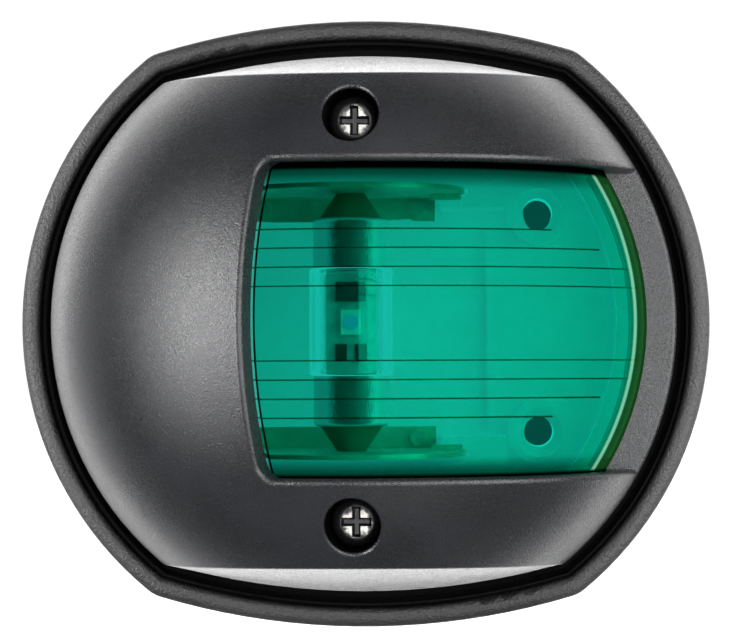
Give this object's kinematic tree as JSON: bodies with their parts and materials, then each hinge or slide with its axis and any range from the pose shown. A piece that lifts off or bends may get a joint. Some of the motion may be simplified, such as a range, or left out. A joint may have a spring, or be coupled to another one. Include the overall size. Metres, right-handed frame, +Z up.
{
  "type": "navigation light",
  "caption": "Side-mounted boat navigation light: domed cover on a rubber gasket, green lens in a sector window, festoon bulb between contact plates.",
  "frame": {"origin": "middle of the back face of the mounting gasket, on the wall", "axes": "+Z up; +Y into the wall, so the light stands out towards -Y; +X is the boat's forward direction"},
  "size_m": [0.08, 0.04, 0.0704],
  "materials": {
    "gasket_rubber": "black moulded rubber, fine grain",
    "base_plastic": "white ABS, satin",
    "seal_rubber": "black rubber, smooth",
    "grommet_rubber": "black rubber, smooth",
    "contact_metal": "nickel-plated brass sheet",
    "rivet_metal": "nickel-plated brass",
    "cover_plastic": "black ABS, fine moulded grain",
    "lens_plastic": "clear green polycarbonate",
    "screw_metal": "blackened stainless steel",
    "tube_glass": "clear tube",
    "cap_metal": "nickel-plated brass",
    "solder": "dull solder",
    "board": "white solder mask",
    "led_body": "white moulded package",
    "led_window": "clear bluish resin",
    "chip_plastic": "black epoxy",
    "resistor_body": "black ceramic",
    "wire_metal": "tinned copper"
  },
  "bodies": {
    "base": {"mounting_gasket": "gasket_rubber", "base_moulding": "base_plastic", "cover_seal": "seal_rubber", "cable_grommet": "grommet_rubber", "contact_plate_top": "contact_metal", "contact_plate_bottom": "contact_metal", "plate_rivets_top": "rivet_metal", "plate_rivets_bottom": "rivet_metal"},
    "cover_assembly": {"cover": "cover_plastic", "lens": "lens_plastic"},
    "top_screw": {"cover_screw_top": "screw_metal", "screw_seal_top": "seal_rubber"},
    "bottom_screw": {"cover_screw_bottom": "screw_metal", "screw_seal_bottom": "seal_rubber"},
    "bulb": {"bulb_tube": "tube_glass", "bulb_cap_top": "cap_metal", "bulb_cap_bottom": "cap_metal", "cap_solder_top": "solder", "cap_solder_bottom": "solder", "bulb_board": "board", "led_chip": "led_body", "led_window": "led_window", "driver_chip": "chip_plastic", "board_resistors": "resistor_body", "bulb_wire_top": "wire_metal", "bulb_wire_bottom": "wire_metal"}
  },
  "joints": [
    {"name": "cover_off", "type": "slide", "parent": "base", "child": "cover_assembly", "axis": [0, -1, 0], "range_m": [0, 0.06]},
    {"name": "top_screw_out", "type": "slide", "parent": "cover_assembly", "child": "top_screw", "axis": [0, -1, 0], "range_m": [0, 0.03]},
    {"name": "bottom_screw_out", "type": "slide", "parent": "cover_assembly", "child": "bottom_screw", "axis": [0, -1, 0], "range_m": [0, 0.03]},
    {"name": "bulb_turn", "type": "hinge", "parent": "base", "child": "bulb", "pos_m": [-0.001, -0.015, 0], "axis": [0, 0, 1], "continuous": true}
  ]
}
